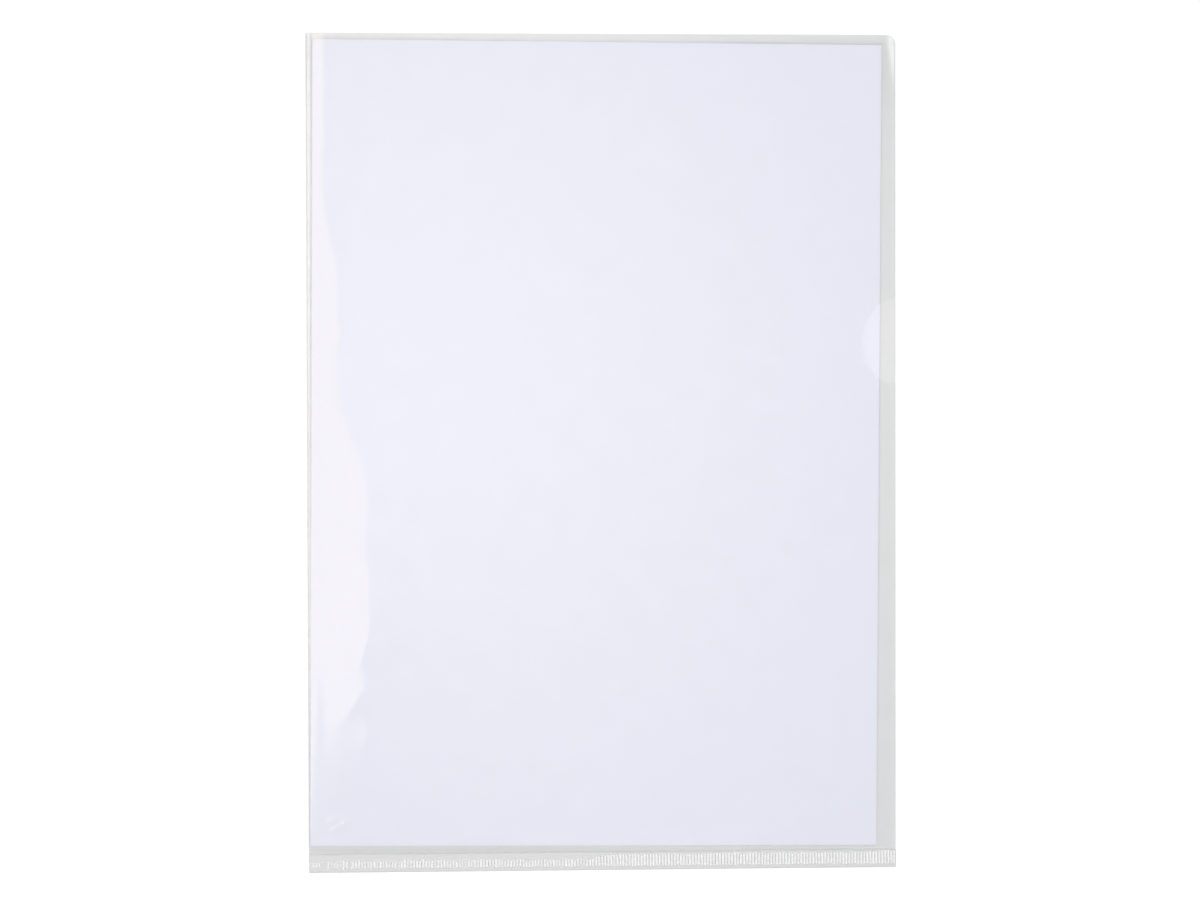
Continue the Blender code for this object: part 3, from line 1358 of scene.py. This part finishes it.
@dataclass
class Studio:
    """White table, soft light from both sides and a white surround."""

    floor_size: float = 14.0
    floor_level: float = -0.03 * MM
    floor_colour: Colour = (0.87, 0.87, 0.87, 1.0)
    floor_lift: float = 0.26
    ambient: float = 0.815
    glows: tuple[Glow, ...] = (
        Glow((3.0, 2.6, 2.3, 1.0), (-0.062, -0.092), (-0.36, -0.24)),
        Glow((2.9, 2.9, 3.0, 1.0), (-0.2, -0.27), (-0.6, -0.44)),
        Glow((3.0, 3.0, 3.0, 1.0), (0.235, 0.3), (0.5, 0.36)),
    )
    sky_tone: Colour = (0.8, 0.86, 0.9, 1.0)
    overhead_tone: Colour = (2.35, 2.25, 2.2, 1.0)
    overhead_middle: tuple[float, float] = (-0.014, 0.008)
    overhead_reach: tuple[float, float] = (0.236, 0.27)
    lowest: float = 0.05
    low_tone: Colour = (0.8, 0.8, 0.81, 1.0)
    low_from: float = 0.7
    low_full: float = 2.4
    horizon_tone: Colour = (0.93, 0.93, 0.93, 1.0)
    horizon_from: float = 3.0
    horizon_full: float = 9.0
    lamps: tuple[Softbox, ...] = (
        Softbox("left softbox", (-1.7, 0.2, 1.5), 0.8),
        Softbox("right softbox", (1.9, 0.25, 1.5), 1.7),
    )

    @staticmethod
    def seen(graph: Graph) -> Value:
        """One for a ray that looks at the surround, straight or in a reflection, and zero for light."""
        straight = graph.ray("Is Camera Ray").larger(graph.ray("Is Transmission Ray"))
        return straight.larger(graph.ray("Is Glossy Ray"))

    def build_floor(self) -> bpy.types.Object:
        """Lay the table. It is lifted to white where it is looked at openly, and keeps its shadows.

        Returns:
            The floor.
        """
        shape = bmesh.new()
        bmesh.ops.create_grid(shape, x_segments=1, y_segments=1, size=self.floor_size / 2)
        bmesh.ops.translate(shape, verts=shape.verts, vec=(0.0, 0.0, self.floor_level))
        material = bpy.data.materials.new("white table")
        graph = Graph(material)
        matt = graph.add("ShaderNodeBsdfDiffuse", None, {"Color": self.floor_colour})
        # The transparent depth counts the film faces that the ray has passed
        no_film = graph.ray("Transparent Depth") < 1
        lift = self.seen(graph) * no_film * self.floor_lift
        glow = graph.add("ShaderNodeEmission", None, {"Color": WHITE, "Strength": lift})
        graph.finish(graph.add("ShaderNodeAddShader", None, {0: matt, 1: glow}))
        floor = new_piece("table", shape, [material])
        return floor

    def mirrored_tone(self, graph: Graph) -> Value:
        """Colour of the surround in a reflection: warm overhead, with soft glows and a dimmer rim.

        Args:
            graph: The world's graph.

        Returns:
            The colour.
        """
        direction = {"Vector": graph.coordinates()}
        parts = [graph.add("ShaderNodeSeparateXYZ", None, direction, axis) for axis in "XYZ"]
        level = parts[2].larger(self.lowest)
        across = parts[0] / level
        along = parts[1] / level
        aside = (across - self.overhead_middle[0]) / self.overhead_reach[0]
        ahead = (along - self.overhead_middle[1]) / self.overhead_reach[1]
        overhead = graph.span((aside * aside + ahead * ahead) ** 0.5, 1.0, 0.0)
        tone = graph.blend_colour(overhead, self.sky_tone, self.overhead_tone)
        for glow in self.glows:
            tone = graph.blend_colour(glow.share(graph, across), tone, glow.tone)
        from_zenith = (across * across + along * along) ** 0.5
        low = graph.span(from_zenith, self.low_from, self.low_full)
        horizon = graph.span(from_zenith, self.horizon_from, self.horizon_full)
        tone = graph.blend_colour(low, tone, self.low_tone)
        return graph.blend_colour(horizon, tone, self.horizon_tone)

    def build_surround(self) -> None:
        """Set the world: white to look at, with soft glows in a reflection, and dimmer as light."""
        world = bpy.data.worlds.new("surround")
        bpy.context.scene.world = world
        graph = Graph(world)
        tone = graph.blend_colour(graph.ray("Is Glossy Ray"), WHITE, self.mirrored_tone(graph))
        strength = self.ambient + (1 - self.ambient) * self.seen(graph)
        sky = graph.add("ShaderNodeBackground", None, {"Color": tone, "Strength": strength})
        graph.add("ShaderNodeOutputWorld", None, {"Surface": sky})

    def build(self) -> None:
        """Set up the table, the surround and the lamps."""
        self.build_floor()
        self.build_surround()
        for lamp in self.lamps:
            lamp.build()


@dataclass(frozen=True)
class CopyCamera:
    """Camera straight above the folder, fitted to the photograph's frame."""

    place: tuple[float, float, float] = (-0.0508, 0.02163, 1.04596)
    target: tuple[float, float, float] = (-0.00103, 0.00118, 0.0)
    roll: float = -0.00234
    lens: float = 85.0
    sensor: float = 36.0
    nearest: float = 0.01
    farthest: float = 50.0

    def build(self) -> bpy.types.Object:
        """Set up the camera.

        Returns:
            The camera's object.
        """
        data = bpy.data.cameras.new("copy camera")
        data.lens = self.lens
        data.sensor_width = self.sensor
        data.clip_start = self.nearest
        data.clip_end = self.farthest
        camera = bpy.data.objects.new("copy camera", data)
        back = (Vector(self.place) - Vector(self.target)).normalized()
        right = Vector((0.0, 1.0, 0.0)).cross(back).normalized()
        right = Matrix.Rotation(self.roll, 3, back) @ right
        up = back.cross(right)
        turned = Matrix((right, up, back)).transposed().to_4x4()
        camera.matrix_world = Matrix.Translation(self.place) @ turned
        bpy.context.scene.collection.objects.link(camera)
        bpy.context.scene.camera = camera
        return camera


def main() -> None:
    """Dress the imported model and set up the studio."""
    logging.basicConfig(level=logging.INFO, format="%(name)s: %(message)s")
    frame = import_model()
    bpy.context.scene.view_settings.view_transform = "Standard"
    bpy.context.scene.cycles.transparent_max_bounces = FILM_FACES
    joints = {joint["name"]: joint for joint in frame["joints"]}

    plan = FolderPlan.from_frame()
    clear = FilmFinish("clear film")
    folded = FilmFinish("folded film", haze=0.05, glancing_mirror=0.35)
    # Cut edges are a darker film: painted shade along them
    shaded_cut_edge = FilmFinish("film cut edge", (0.972, 0.972, 0.972, 1.0), haze=0.06, glancing_mirror=0.2)
    shaded_seam_edge = FilmFinish("seam cut edge", (0.925, 0.925, 0.925, 1.0), haze=0.06, glancing_mirror=0.2)
    sheet = PaperSheet(plan, PaperFinish("white paper"))
    pocket = FilmPocket(plan, FilmRelief(plan, sheet), clear, folded, shaded_cut_edge)
    seam = WeldedSeam(plan, pocket, WeldFinish("welded film"), shaded_seam_edge)
    for piece in (
        pocket.build_back(),
        sheet.build(),
        pocket.build_front(joints["corner_lift"]),
        seam.build(),
    ):
        log.info("%s: %d faces", piece.name, len(piece.data.polygons))
    Studio().build()
    CopyCamera().build()


if __name__ == "__main__":
    main()
